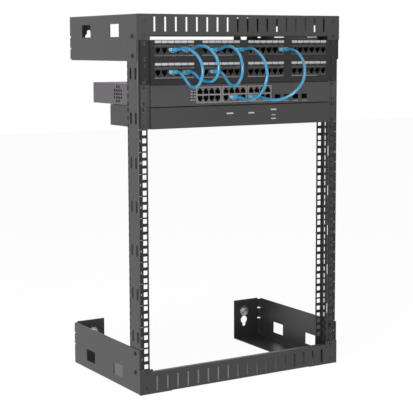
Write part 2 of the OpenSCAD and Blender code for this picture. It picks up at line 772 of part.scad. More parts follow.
module switch_ports() {
    face = front_y - box_proud;
    z = unit_z(SWITCH) + group_z;
    color(dark)
        for (g = [0 : 2])
            difference() {
                span([group_x(g) - group_w / 2, face, z - group_h / 2],
                    [group_x(g) + group_w / 2, post_y + block_d, z + group_h / 2]);
                for (c = [0 : group_ports - 1], s = SIDES)
                    port_hole(switch_port_x(g, c), face, switch_port_z(s), s);
            }
}

module switch_fibre_cages() {
    face = front_y - box_proud;
    z = unit_z(SWITCH) + fibre_z;
    color(silver)
        for (i = [0 : fibre_slots - 1])
            translate([fibre_x(i), 0, z])
                difference() {
                    span([-fibre_w / 2 - cage_wall, face, -fibre_h / 2 - cage_wall],
                        [fibre_w / 2 + cage_wall, post_y + fibre_depth, fibre_h / 2 + cage_wall]);
                    span([-fibre_w / 2, face - cut, -fibre_h / 2],
                        [fibre_w / 2, post_y + fibre_depth - cage_wall, fibre_h / 2]);
                }
}

module console_case() { color(dark) case(CONSOLE, console_d); }
module console_fascia() { color(dark) fascia(CONSOLE); }
module console_ears() { color(dark) ears(CONSOLE); }

module lead_1() { lead(1); }
module lead_2() { lead(2); }
module lead_3() { lead(3); }
module lead_4() { lead(4); }
module lead_5() { lead(5); }
module lead_1_plugs() { lead_plugs(1); }
module lead_2_plugs() { lead_plugs(2); }
module lead_3_plugs() { lead_plugs(3); }
module lead_4_plugs() { lead_plugs(4); }
module lead_5_plugs() { lead_plugs(5); }

left_post();
right_post();
top_rail();
bottom_rail();
top_left_bracket();
top_right_bracket();
bottom_left_bracket();
bottom_right_bracket();
wall_bolts();
wall_washers();
rail_screws();
bracket_screws();
equipment_screws();
cage_nuts();
upper_panel();
upper_panel_ports();
upper_panel_labels();
upper_panel_terminals();
lower_panel();
lower_panel_ports();
lower_panel_labels();
lower_panel_terminals();
switch_case();
switch_fascia();
switch_ears();
switch_ports();
switch_fibre_cages();
console_case();
console_fascia();
console_ears();
lead_1();
lead_2();
lead_3();
lead_4();
lead_5();
lead_1_plugs();
lead_2_plugs();
lead_3_plugs();
lead_4_plugs();
lead_5_plugs();
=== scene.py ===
# %% [markdown]
# # A two post open frame rack
#
# This notebook dresses a wall-mount network rack. The steel frame, the boxes and the plugs
# already have their real size: they come from a CAD model that is loaded first and never moved.
# What is left is what makes the rack look real: rounded bends, moulded ports, labels, screws,
# soft blue leads, and finishes with the grain and gloss of the real ones.

# %% Load the CAD model
import math

import bpy
from mathutils import Matrix, Vector


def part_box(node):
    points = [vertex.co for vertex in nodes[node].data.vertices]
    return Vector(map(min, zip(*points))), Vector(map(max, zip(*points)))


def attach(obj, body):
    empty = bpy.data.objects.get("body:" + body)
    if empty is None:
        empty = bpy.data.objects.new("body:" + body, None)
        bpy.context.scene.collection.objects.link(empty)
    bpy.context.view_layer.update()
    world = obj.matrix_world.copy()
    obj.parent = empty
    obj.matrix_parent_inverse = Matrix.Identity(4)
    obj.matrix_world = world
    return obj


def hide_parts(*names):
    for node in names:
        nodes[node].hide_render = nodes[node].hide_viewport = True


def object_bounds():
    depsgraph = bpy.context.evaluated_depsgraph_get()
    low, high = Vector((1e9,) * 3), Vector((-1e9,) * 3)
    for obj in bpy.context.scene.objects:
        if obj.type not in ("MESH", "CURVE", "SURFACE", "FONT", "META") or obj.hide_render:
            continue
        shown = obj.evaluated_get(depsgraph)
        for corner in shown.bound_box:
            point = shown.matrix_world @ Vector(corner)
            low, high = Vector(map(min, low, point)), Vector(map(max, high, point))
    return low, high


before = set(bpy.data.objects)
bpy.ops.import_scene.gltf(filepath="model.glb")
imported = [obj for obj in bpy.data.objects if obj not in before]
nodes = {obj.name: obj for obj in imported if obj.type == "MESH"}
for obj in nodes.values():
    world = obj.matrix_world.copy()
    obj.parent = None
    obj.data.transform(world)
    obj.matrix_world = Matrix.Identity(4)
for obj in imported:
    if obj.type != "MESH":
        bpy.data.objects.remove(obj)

cad_bounds = [list(corner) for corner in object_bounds()]
scene = bpy.context.scene
scene.view_settings.view_transform = "Standard"
print(len(nodes), "CAD nodes, from", cad_bounds[0], "to", cad_bounds[1])

# %% [markdown]
# ## Camera
#
# A long lens from the left, near the height of the upper units, as for a catalogue picture. It
# looks a little down, and a small shift of the lens keeps the posts nearly parallel. Its turn is
# built from three plain rotations, because they are easier to read than three mixed angles.

# %% Set the camera
MM = 0.001                                    # scene lengths are in metres
EYE_PLACE = (-1.3782, -2.2779, 0.7043)
TURN_RIGHT = 0.54504                          # radians away from square on
LOOK_DOWN = 6.346                             # degrees
LEAN = -0.214                                 # degrees

eye = bpy.data.cameras.new("camera")
eye.sensor_width = 36
eye.lens = 105.87
eye.shift_y = -0.06
camera = bpy.data.objects.new("camera", eye)
scene.collection.objects.link(camera)
camera.location = EYE_PLACE
turn = (Matrix.Rotation(-TURN_RIGHT, 3, "Z")
        @ Matrix.Rotation(math.radians(90 - LOOK_DOWN), 3, "X")
        @ Matrix.Rotation(math.radians(LEAN), 3, "Z"))
camera.rotation_euler = turn.to_euler()
scene.camera = camera
print("lens", round(eye.lens, 1), "mm")

# %% [markdown]
# ## Sizes that the pieces share
#
# The rack standard gives the heights: a unit is 44.45 mm tall. Fronts, sides and heights are
# read from the CAD nodes where that is possible, so the pieces sit where the CAD says.

# %% Read the shared sizes
UNIT = 44.45 * MM
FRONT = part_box("bottom_rail")[0].y            # front face of the rails
RAIL_TOP = 51.4 * MM                          # where the first unit starts
PANEL_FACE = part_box("upper_panel")[0].y
BOX_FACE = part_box("switch_fascia")[0].y
POST_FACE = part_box("left_post")[0].y
HOLE_X = 232.55 * MM                          # middle of the square holes, from the centre line
PORT_PITCH = 15.2 * MM                        # from port to port of a patch panel
BLOCK_PITCH = 110.4 * MM                      # from one block of six ports to the next
BLOCK_RISE = 23.2 * MM                        # middle of a block above the base of its unit
PORT_RISE = 1.7 * MM                          # middle of a port above the middle of its block
SWITCH_PITCH = 13.9 * MM
GROUP_PITCH = 62 * MM                         # from one group of eight switch ports to the next
GROUPS_X = -24.5 * MM                         # middle of the middle group
GROUP_RISE = 22 * MM
ROW_RISE = 5.6 * MM                           # a row of switch ports off the middle of its group
UPPER, LOWER, SWITCH, CONSOLE = 15, 14, 13, 12


def unit_z(unit):
    return RAIL_TOP + (unit - 1) * UNIT


def port_x(port):
    block, place = divmod(port - 1, 6)
    return (block - 1.5) * BLOCK_PITCH + (place - 2.5) * PORT_PITCH


def port_z(unit):
    return unit_z(unit) + BLOCK_RISE + PORT_RISE


def switch_port_x(group, column):
    return GROUPS_X + (group - 1) * GROUP_PITCH + (column - 1.5) * SWITCH_PITCH


def switch_port_z(row):
    return unit_z(SWITCH) + GROUP_RISE + row * ROW_RISE


print("front at", round(FRONT, 4), "upper panel from", round(unit_z(UPPER), 4))

# %% [markdown]
# ## Patch leads
#
# Each lead is a stiff round cable, 6 mm thick, that springs out of one plug, bows forward and
# returns to another. A curve with a round bevel is the natural way to make it: the line is the
# cable's own centre, so its length can be measured. The points are those that the CAD tubes
# follow, and a smooth line runs through them. Each point says how far out, across and up it is
# from the start, in millimetres.

# %% The way of each lead
LEAD_D = 6 * MM
PLUG_REACH = 24 * MM                          # from the panel's face to the end of the boot
LEAD_PORTS = {1: 3, 2: 5, 3: 8, 4: 12, 5: 18}  # the upper port of each lead
WAYS = {
    1: [(0, 0, 0), (-12, 0, 1), (-27, 0, 3), (-42, 0, 1.5), (-57, 0, -2.5), (-71, 0, -8),
        (-84, 0, -16), (-94, 0, -27), (-98, 0, -40), (-95, 0, -53), (-87, 0, -64), (-75, 0, -71),
        (-62, 0, -73), (-50, 0, -70), (-39, 0, -63.5), (-28, 0, -55.5), (-18, 0, -48.5),
        (-9, 0, -45)],
    2: [(0, 0, 0), (-13, 0, 2.5), (-29, 0, 6), (-45, 0, 7), (-61, 0, 5), (-76, 0, 0),
        (-90, 0, -8), (-101, 0, -18), (-107, 0, -31), (-105, 0, -44), (-97, 0, -54), (-85, 0, -60),
        (-71, 0, -62), (-56, 0, -61.5), (-42, 0, -59), (-29, 0, -54.5), (-18, 0, -48.5),
        (-9, 0, -45)],
    3: [(0, 0, 0), (-12, 0, 2), (-26, 0, 5), (-40, 0, 6), (-54, 0, 4), (-67, 0, -1),
        (-79, 0, -9), (-87, 0, -20), (-91, 0, -33), (-90, 0, -46), (-84, 0, -58), (-74, 0, -67),
        (-62, 0, -71), (-50, 0, -70), (-39, 0, -65.5), (-28, 0, -57.5), (-18, 0, -49.5),
        (-9, 0, -45.2)],
    4: [(0, 0, 0), (-13, 0, 1.5), (-28, -0.5, 2), (-43, -1, -1), (-58, -2, -6.5),
        (-72, -3, -14), (-84, -4, -24), (-92, -5, -37), (-96, -6, -51), (-94, -7.5, -65),
        (-88, -9, -78), (-77, -10.5, -89), (-63, -12, -97), (-48, -13.2, -101), (-34, -14, -101.5),
        (-20, -14.25, -99.3), (-11, -14.25, -97.9)],
    5: [(0, 0, 0), (-12, -0.5, 0), (-27, -2, -2.5), (-43, -4.5, -8), (-58, -8, -15),
        (-72, -12, -24), (-84, -17, -35), (-93, -23, -48), (-98, -30, -62), (-97, -38, -75),
        (-91, -46, -86), (-81, -54, -94.5), (-68, -61.5, -100), (-54, -68, -102.5),
        (-40, -72.5, -102.3), (-26, -75.5, -100), (-13, -76.5, -97.9)],
}


def lead_start(k):
    return Vector((port_x(LEAD_PORTS[k]), PANEL_FACE - PLUG_REACH, port_z(UPPER)))


def lead_end(k):
    if k <= 3:
        return Vector((port_x(LEAD_PORTS[k]), PANEL_FACE - PLUG_REACH, port_z(LOWER)))
    column = 1 if k == 4 else 0
    return Vector((switch_port_x(k - 3, column), BOX_FACE - PLUG_REACH, switch_port_z(-1)))


print({k: [round(c, 4) for c in lead_end(k)] for k in WAYS})

# %% Draw a smooth line through the points
def smooth_line(points, steps=5):
    """A line through all the points that leaves and arrives straight along Y."""
    ahead = Vector((0, 0.012, 0))
    padded = [points[0] + ahead] + points + [points[-1] + ahead]
    line = []
    for a, b, c, d in zip(padded, padded[1:], padded[2:], padded[3:]):
        for i in range(steps):
            t = i / steps
            line.append(0.5 * (2 * b + (c - a) * t + (2 * a - 5 * b + 4 * c - d) * t * t
                               + (3 * b - a - 3 * c + d) * t * t * t))
    return line + [points[-1]]


def make_lead(k):
    start = lead_start(k)
    points = [start + Vector((across, out, up)) * MM for out, across, up in WAYS[k]]
    line = smooth_line(points + [lead_end(k)])
    curve = bpy.data.curves.new(f"lead_{k}_jacket", "CURVE")
    curve.dimensions = "3D"
    spline = curve.splines.new("POLY")
    spline.points.add(len(line) - 1)
    for point, place in zip(spline.points, line):
        point.co = (*place, 1)
    curve.bevel_depth = LEAD_D / 2
    curve.bevel_resolution = 5
    curve.use_fill_caps = True
    jacket = bpy.data.objects.new(f"lead_{k}_jacket", curve)
    scene.collection.objects.link(jacket)
    length = sum((b - a).length for a, b in zip(line, line[1:]))
    return jacket, start, length


# %% [markdown]
# ## Modelling helpers
#
# The pieces below are made as by hand: a primitive, then a few operators in edit mode, then a
# modifier. With no window, the selection has to be made in code. These helpers select faces by
# their place and normal, and apply a modifier at once.

# %% Helpers: select, shape and finish
def clear():
    if bpy.context.mode != "OBJECT":
        bpy.ops.object.mode_set(mode="OBJECT")
    bpy.ops.object.select_all(action="DESELECT")


def take(piece):
    clear()
    piece.select_set(True)
    bpy.context.view_layer.objects.active = piece
    return piece


def settle(piece):
    """Puts the piece's place, turn and size into its mesh."""
    take(piece)
    bpy.ops.object.transform_apply(location=True, rotation=True, scale=True)
    return piece


def block(name, low, high):
    clear()
    low, high = Vector(low), Vector(high)
    bpy.ops.mesh.primitive_cube_add(size=1, location=(low + high) / 2)
    piece = bpy.context.active_object
    piece.name = piece.data.name = name
    piece.scale = high - low
    return settle(piece)


def rod(name, radius, y0, y1, x=0.0, z=0.0, sides=24):
    """A cylinder along Y."""
    clear()
    bpy.ops.mesh.primitive_cylinder_add(vertices=sides, radius=radius, depth=y1 - y0,
                                        location=(x, (y0 + y1) / 2, z),
                                        rotation=(math.radians(-90), 0, 0))
    piece = bpy.context.active_object
    piece.name = piece.data.name = name
    return settle(piece)


def edit_faces(piece, test):
    """Opens edit mode with the faces selected whose centre and normal pass the test."""
    take(piece)
    bpy.ops.object.mode_set(mode="EDIT")
    bpy.ops.mesh.select_mode(type="FACE")
    bpy.ops.mesh.select_all(action="DESELECT")
    bpy.ops.object.mode_set(mode="OBJECT")
    chosen = 0
    for face in piece.data.polygons:
        face.select = bool(test(face.center, face.normal))
        chosen += face.select
    bpy.ops.object.mode_set(mode="EDIT")
    return chosen


def done(piece):
    bpy.ops.object.mode_set(mode="OBJECT")
    return piece


def modify(piece, kind, **settings):
    take(piece)
    bpy.ops.object.modifier_add(type=kind)
    modifier = piece.modifiers[-1]
    for key, value in settings.items():
        setattr(modifier, key, value)
    bpy.ops.object.modifier_apply(modifier=modifier.name)
    return piece


def bevel(piece, width, segments=2, angle=35):
    return modify(piece, "BEVEL", width=width, segments=segments, limit_method="ANGLE",
                  angle_limit=math.radians(angle), use_clamp_overlap=True)


def cut_with(piece, tool):
    """Cuts the tool out of the piece and deletes the tool."""
    modify(piece, "BOOLEAN", operation="DIFFERENCE", object=tool, solver="EXACT")
    bpy.data.objects.remove(tool)
    return piece


def smooth(piece, angle=35):
    """Rounds the shading of bends and bevels, and keeps it even on the flat faces."""
    take(piece)
    bpy.ops.object.shade_smooth_by_angle(angle=math.radians(angle))
    return modify(piece, "WEIGHTED_NORMAL", weight=100, keep_sharp=True)


def copy_to(piece, name, move=(0, 0, 0), turn=None):
    """A copy with its own mesh, moved and turned in its mesh."""
    other = piece.copy()
    other.data = piece.data.copy()
    other.name = other.data.name = name
    scene.collection.objects.link(other)
    other.data.transform(Matrix.Translation(Vector(move)) @ (turn or Matrix.Identity(4)))
    return other


def join(pieces, name):
    clear()
    for piece in pieces:
        piece.select_set(True)
    bpy.context.view_layer.objects.active = pieces[0]
    if len(pieces) > 1:
        bpy.ops.object.join()
    whole = bpy.context.view_layer.objects.active
    whole.name = whole.data.name = name
    return whole


def spread(piece, name, places):
    """One piece made of a copy at each place, and the pattern itself removed."""
    copies = [copy_to(piece, f"{name}_{i}", place) for i, place in enumerate(places)]
    bpy.data.objects.remove(piece)
    return join(copies, name)


def put(piece, slot, *stands_for):
    """The piece rides on the rack and stands for CAD nodes; its slot is not used."""
    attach(piece, "root")
    if stands_for:
        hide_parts(*stands_for)
    return piece


print("helpers ready")

# %% [markdown]
# ## Finishes
#
# Nearly everything here is dark, so the finishes differ in grain and gloss more than in colour.
# Powder coat has a fine orange-peel texture, wet paint is smoother, moulded plastic has a spark
# grain, and zinc is bright with a brushed cloudiness. Two small node groups give the grain and
# the dusty, slightly uneven tone, and every material sets them to its own scale.

# %% Node groups for grain and tone
def new_group(name, inputs, outputs):
    group = bpy.data.node_groups.new(name, "ShaderNodeTree")
    for label, kind, value in inputs:
        socket = group.interface.new_socket(label, in_out="INPUT", socket_type=kind)
        socket.default_value = value
    for label, kind in outputs:
        group.interface.new_socket(label, in_out="OUTPUT", socket_type=kind)
    start = group.nodes.new("NodeGroupInput")
    end = group.nodes.new("NodeGroupOutput")
    return group, start, end


def node(tree, kind, **settings):
    made = tree.nodes.new(kind)
    for key, value in settings.items():
        setattr(made, key, value)
    return made


def surface_grain():
    """Bumps of two sizes, as powder coat and moulded plastic have."""
    group, start, end = new_group(
        "surface_grain",
        [("Scale", "NodeSocketFloat", 900.0), ("Waviness", "NodeSocketFloat", 0.4)],
        [("Height", "NodeSocketFloat")])
    where = node(group, "ShaderNodeTexCoord")
    fine = node(group, "ShaderNodeTexNoise")
    fine.inputs["Detail"].default_value = 3
    wide = node(group, "ShaderNodeTexNoise")
    wide.inputs["Detail"].default_value = 1
    smaller = node(group, "ShaderNodeMath", operation="MULTIPLY")
    smaller.inputs[1].default_value = 0.22
    mix = node(group, "ShaderNodeMix", data_type="FLOAT")
    link = group.links.new
    link(where.outputs["Object"], fine.inputs["Vector"])
    link(where.outputs["Object"], wide.inputs["Vector"])
    link(start.outputs["Scale"], fine.inputs["Scale"])
    link(start.outputs["Scale"], smaller.inputs[0])
    link(smaller.outputs[0], wide.inputs["Scale"])
    link(start.outputs["Waviness"], mix.inputs["Factor"])
    link(fine.outputs["Fac"], mix.inputs["A"])
    link(wide.outputs["Fac"], mix.inputs["B"])
    link(mix.outputs["Result"], end.inputs["Height"])
    return group


def uneven_tone():
    """A colour that drifts between two tones in soft patches, with fine specks of dust."""
    group, start, end = new_group(
        "uneven_tone",
        [("Tone", "NodeSocketColor", (0.05, 0.05, 0.05, 1)),
         ("Light Tone", "NodeSocketColor", (0.07, 0.07, 0.07, 1)),
         ("Rough", "NodeSocketFloat", 0.5), ("Rough Change", "NodeSocketFloat", 0.08),
         ("Dust", "NodeSocketFloat", 0.05)],
        [("Colour", "NodeSocketColor"), ("Roughness", "NodeSocketFloat")])
    where = node(group, "ShaderNodeTexCoord")
    patches = node(group, "ShaderNodeTexNoise")
    patches.inputs["Scale"].default_value = 14
    patches.inputs["Detail"].default_value = 4
    specks = node(group, "ShaderNodeTexNoise")
    specks.inputs["Scale"].default_value = 1600
    few = node(group, "ShaderNodeMapRange")   # only the lightest specks count as dust
    few.inputs["From Min"].default_value = 0.62
    few.inputs["From Max"].default_value = 0.80
    amount = node(group, "ShaderNodeMath", operation="MULTIPLY")
    tone = node(group, "ShaderNodeMix", data_type="RGBA")
    dusty = node(group, "ShaderNodeMix", data_type="RGBA")
    dusty.inputs["B"].default_value = (0.35, 0.34, 0.33, 1)
    shift = node(group, "ShaderNodeMapRange")
    shift.inputs["To Min"].default_value = -1
    rough = node(group, "ShaderNodeMath", operation="MULTIPLY_ADD")
    link = group.links.new
    link(where.outputs["Object"], patches.inputs["Vector"])
    link(where.outputs["Object"], specks.inputs["Vector"])
    link(patches.outputs["Fac"], tone.inputs["Factor"])
    link(start.outputs["Tone"], tone.inputs["A"])
    link(start.outputs["Light Tone"], tone.inputs["B"])
    link(specks.outputs["Fac"], few.inputs["Value"])
    link(few.outputs["Result"], amount.inputs[0])
    link(start.outputs["Dust"], amount.inputs[1])
    link(amount.outputs[0], dusty.inputs["Factor"])
    link(tone.outputs["Result"], dusty.inputs["A"])
    link(patches.outputs["Fac"], shift.inputs["Value"])
    link(shift.outputs["Result"], rough.inputs[0])
    link(start.outputs["Rough Change"], rough.inputs[1])
    link(start.outputs["Rough"], rough.inputs[2])
    link(dusty.outputs["Result"], end.inputs["Colour"])
    link(rough.outputs[0], end.inputs["Roughness"])
    return group


GRAIN = surface_grain()
TONE = uneven_tone()
print("groups:", GRAIN.name, TONE.name)

# %% Build a finish from the two groups
def finish(name, tone, light_tone, rough, grain=900, waviness=0.4, depth=0.02, metallic=0.0,
           change=0.06, dust=0.03, coat=0.0, specular=0.5):
    material = bpy.data.materials.new(name)
    material.use_nodes = True
    tree = material.node_tree
    shader = tree.nodes["Principled BSDF"]
    shader.inputs["Metallic"].default_value = metallic
    shader.inputs["Coat Weight"].default_value = coat
    shader.inputs["Coat Roughness"].default_value = 0.12
    shader.inputs["Specular IOR Level"].default_value = specular
    colour = node(tree, "ShaderNodeGroup", node_tree=TONE)
    colour.inputs["Tone"].default_value = (*tone, 1)
    colour.inputs["Light Tone"].default_value = (*light_tone, 1)
    colour.inputs["Rough"].default_value = rough
    colour.inputs["Rough Change"].default_value = change
    colour.inputs["Dust"].default_value = dust
    bumps = node(tree, "ShaderNodeGroup", node_tree=GRAIN)
    bumps.inputs["Scale"].default_value = grain
    bumps.inputs["Waviness"].default_value = waviness
    raise_up = node(tree, "ShaderNodeBump")
    raise_up.inputs["Strength"].default_value = 1.0
    raise_up.inputs["Distance"].default_value = depth * MM
    link = tree.links.new
    link(colour.outputs["Colour"], shader.inputs["Base Color"])
    link(colour.outputs["Roughness"], shader.inputs["Roughness"])
    link(bumps.outputs["Height"], raise_up.inputs["Height"])
    link(raise_up.outputs["Normal"], shader.inputs["Normal"])
    return material


FINISH = {
    "powder_coat": finish("powder_coat", (0.036, 0.033, 0.035), (0.050, 0.046, 0.048), 0.36,
                          grain=700, depth=0.08, dust=0.05),
    "pale_hole_wall": finish("pale_hole_wall", (0.34, 0.33, 0.33), (0.44, 0.43, 0.43), 0.35),
    "black_steel": finish("black_steel", (0.007, 0.007, 0.007), (0.014, 0.014, 0.014), 0.24,
                          depth=0.01, specular=0.6),
    "zinc_steel": finish("zinc_steel", (0.50, 0.50, 0.52), (0.72, 0.72, 0.74), 0.28,
                         metallic=1.0, grain=500, depth=0.02, change=0.12),
    "panel_steel": finish("panel_steel", (0.013, 0.012, 0.013), (0.020, 0.019, 0.020), 0.38,
                         grain=800, depth=0.04, dust=0.03, specular=0.32),
    "case_steel": finish("case_steel", (0.112, 0.096, 0.114), (0.140, 0.122, 0.142), 0.42,
                         grain=900, depth=0.04, dust=0.03),
    "case_plastic": finish("case_plastic", (0.056, 0.051, 0.054), (0.072, 0.066, 0.069), 0.45,
                           grain=1200, depth=0.04),
    "console_steel": finish("console_steel", (0.034, 0.033, 0.034), (0.044, 0.043, 0.044), 0.42,
                            grain=900, depth=0.05),
    "console_plastic": finish("console_plastic", (0.034, 0.033, 0.034), (0.044, 0.043, 0.044),
                              0.40, grain=1200, depth=0.03),
    "black_plastic": finish("black_plastic", (0.006, 0.006, 0.006), (0.010, 0.010, 0.010), 0.40,
                            grain=1400, depth=0.01, specular=0.3),
    "port_face": finish("port_face", (0.050, 0.047, 0.049), (0.064, 0.060, 0.063), 0.35,
                        grain=1400, depth=0.01),
    "shield_steel": finish("shield_steel", (0.150, 0.138, 0.148), (0.190, 0.176, 0.188), 0.32,
                           grain=900, depth=0.01, metallic=0.4),
    "cage_steel": finish("cage_steel", (0.080, 0.074, 0.080), (0.120, 0.112, 0.120), 0.30,
                         metallic=0.8, depth=0.01),
    "label_paper": finish("label_paper", (0.66, 0.65, 0.66), (0.74, 0.73, 0.74), 0.42,
                          grain=1500, depth=0.01, coat=0.4, dust=0.0),
    "blue_jacket": finish("blue_jacket", (0.024, 0.300, 0.560), (0.036, 0.385, 0.680), 0.24,
                          grain=600, depth=0.03, dust=0.02, coat=0.5, specular=0.7),
    "blue_plug": finish("blue_plug", (0.055, 0.400, 0.640), (0.075, 0.460, 0.700), 0.22,
                        grain=900, depth=0.01, coat=0.4),
    "clear_plug": finish("clear_plug", (0.300, 0.620, 0.760), (0.420, 0.720, 0.840), 0.12,
                         grain=300, depth=0.01, coat=0.6),
    "gold_contacts": finish("gold_contacts", (0.30, 0.20, 0.07), (0.40, 0.28, 0.11), 0.30,
                            metallic=1.0, depth=0.0),
    "print_white": finish("print_white", (0.72, 0.72, 0.71), (0.80, 0.80, 0.79), 0.5, depth=0.0,
                          dust=0.0),
    "print_cream": finish("print_cream", (0.66, 0.61, 0.55), (0.74, 0.69, 0.63), 0.5, depth=0.0,
                          dust=0.0),
}


def paint(piece, name):
    piece.data.materials.clear()
    piece.data.materials.append(FINISH[name])
    return piece


def paint_faces(piece, name, test):
    """Gives a second finish to the faces whose centre and normal pass the test."""
    piece.data.materials.append(FINISH[name])
    number = len(piece.data.materials) - 1
    chosen = 0
    for face in piece.data.polygons:
        if test(face.center, face.normal):
            face.material_index = number
            chosen += 1
    return chosen


print(len(FINISH), "finishes")

# %% Make the leads
lead_jackets = {}
for k in WAYS:
    jacket, start, length = make_lead(k)
    paint(jacket, "blue_jacket")
    put(jacket, "blue_jacket", f"lead_{k}")
    lead_jackets[k] = (jacket, start, length)
    print(jacket.name, "is", round(length * 1000), "mm long")

# %% [markdown]
# ## Plugs
#
# A moulded boot grips the cable and tapers out to the width of the plug. It is drawn ring by
# ring: a circle is extruded along the lead and scaled at each step, which gives the ribs. The
# plug itself is a clear block with a springy latch below. One of each is made, and every lead
# gets two copies.

# %% Model the boot
def make_boot():
    clear()
    bpy.ops.mesh.primitive_circle_add(vertices=24, radius=3.5 * MM, fill_type="NGON",
                                      rotation=(math.radians(90), 0, 0))
    boot = settle(bpy.context.active_object)
    boot.name = boot.data.name = "boot"
    take(boot)
    bpy.ops.object.mode_set(mode="EDIT")
    bpy.ops.mesh.select_mode(type="FACE")
    bpy.ops.mesh.select_all(action="SELECT")
    rings = [(0.5, 1.12, 1.12), (1.6, 1, 1), (0.3, 0.86, 0.86), (0.9, 1, 1), (0.3, 1.18, 1.18),
             (1.6, 1, 1), (0.3, 0.88, 0.88), (0.9, 1, 1), (0.3, 1.17, 1.17), (1.6, 1, 1),
             (2.6, 1.18, 0.98), (3.1, 1.0, 1.0)]
    for far, wide, tall in rings:
        bpy.ops.mesh.extrude_region_move(TRANSFORM_OT_translate={"value": (0, far * MM, 0)})
        if (wide, tall) != (1, 1):
            bpy.ops.transform.resize(value=(wide, 1, tall))
    bpy.ops.mesh.select_all(action="SELECT")
    bpy.ops.mesh.normals_make_consistent(inside=False)
    return smooth(done(boot), 40)


boot = paint(make_boot(), "blue_plug")
print("boot faces:", len(boot.data.polygons))

# %% Model the plug with its latch
def make_plug_body():
    body = block("plug_body", (-5.4 * MM, 13.6 * MM, -3.3 * MM), (5.4 * MM, 34.5 * MM, 3.3 * MM))
    edit_faces(body, lambda c, n: n.y < -0.9)
    bpy.ops.mesh.inset(thickness=0.8 * MM)
    bpy.ops.mesh.extrude_region_move(TRANSFORM_OT_translate={"value": (0, -0.4 * MM, 0)})
    done(body)
    bevel(body, 0.5 * MM, 3)
    latch = block("latch", (-2.9 * MM, 17 * MM, -4.4 * MM), (2.9 * MM, 33 * MM, -3.5 * MM))
    edit_faces(latch, lambda c, n: n.y < -0.9)
    bpy.ops.transform.translate(value=(0, 0, -1.2 * MM))
    bpy.ops.transform.resize(value=(0.7, 1, 1))
    done(latch)
    bevel(latch, 0.2 * MM, 2)
    return smooth(join([body, latch], "plug_body"), 40)


plug_body = paint(make_plug_body(), "clear_plug")
print("plug faces:", len(plug_body.data.polygons))

for k, (jacket, start, length) in lead_jackets.items():
    ends = [lead_start(k), lead_end(k)]
    boots = [copy_to(boot, "boot_copy", p) for p in ends]
    bodies = [copy_to(plug_body, "body_copy", p) for p in ends]
    boots = put(join(boots, f"lead_{k}_boots"), "blue_plug", f"lead_{k}_plugs")
    bodies = put(join(bodies, f"lead_{k}_plug_bodies"), "blue_plug", f"lead_{k}_plugs")
for pattern in (boot, plug_body):
    bpy.data.objects.remove(pattern)
print("leads declared:", len(lead_jackets))

# %% [markdown]
# ## Folded and moulded parts
#
# The CAD nodes have the right folds, holes and slots, but their cut edges are perfectly sharp.
# On real sheet every punched edge is slightly rounded and catches a thin line of light. A copy
# of the node is welded, its flat faces are merged, and a small bevel rounds the edges. Some of
# its faces then get a second finish: a pale one on the front-facing walls of the holes in the
# posts' edges, a darker one on the posts' fronts, which is painted shade, and black inside the
# ports, the fibre cages and the vents. In the ports this black is the jacks' own plastic; in the
# cages it is partly painted shade, and in the vents it is painted shade.

# %% Round the edges of a copy of a CAD node
WELD = 0.01 * MM


def soften(name, width, finish_name, slot=None):
    source = nodes[name]
    piece = source.copy()
    piece.data = source.data.copy()
    piece.parent = None
    for key in list(piece.keys()):
        del piece[key]
    piece.name = piece.data.name = name + "_skin"
    scene.collection.objects.link(piece)
    take(piece)
    bpy.ops.object.mode_set(mode="EDIT")
    bpy.ops.mesh.select_all(action="SELECT")
    bpy.ops.mesh.remove_doubles(threshold=WELD)
    bpy.ops.mesh.dissolve_limited(angle_limit=math.radians(1))
    done(piece)
    bevel(piece, width)
    smooth(piece, 50)
    paint(piece, finish_name)
    return put(piece, slot or finish_name, name)


EDGE_HOLES_X = 245.1 * MM                     # past this lie only the holes in a post's edge
EDGE_HOLES_DEEP = 3 * MM                      # how far in from the back they reach
POST_DEEP = 40 * MM                           # past this from the back lies only the front
for name in ("left_post", "right_post", "top_rail", "bottom_rail", "top_left_bracket",
             "top_right_bracket", "bottom_left_bracket", "bottom_right_bracket"):
    skin = soften(name, 0.3 * MM, "powder_coat")
    if name.endswith("post"):
        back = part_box(name)[1].y
        # A pale finish on the walls of the holes in the posts' edges that face the front.
        pale_walls = paint_faces(skin, "pale_hole_wall", lambda c, n: (
            n.y < -0.9 and abs(c.x) > EDGE_HOLES_X and c.y > back - EDGE_HOLES_DEEP))
        # Painted shade: the posts' front faces get a darker finish than the rest of the post.
        dark = paint_faces(skin, "panel_steel", lambda c, n: n.y < -0.9 and c.y < back - POST_DEEP)
        print(pale_walls, "bare edges,", dark, "front faces")
    print(skin.name, len(skin.data.polygons), "faces")

# %% Round the plates, blocks and cases
SLOT_OF = {"port_face": "black_plastic", "shield_steel": "black_plastic", "cage_steel": "zinc_steel"}
PANEL_STRETCH = 0.3 * MM                      # the two panels all but touch
SHADOW_GAP = 1.2 * MM                         # above each moulded front
VENT_FIELD = 60 * MM                          # the vents lie within this of the middle of the side


def move_edge(piece, edge, within, by):
    """Moves the points near the given height up by a distance, or down by a negative one."""
    for point in piece.data.vertices:
        if abs(point.co.z - edge) < within:
            point.co.z += by


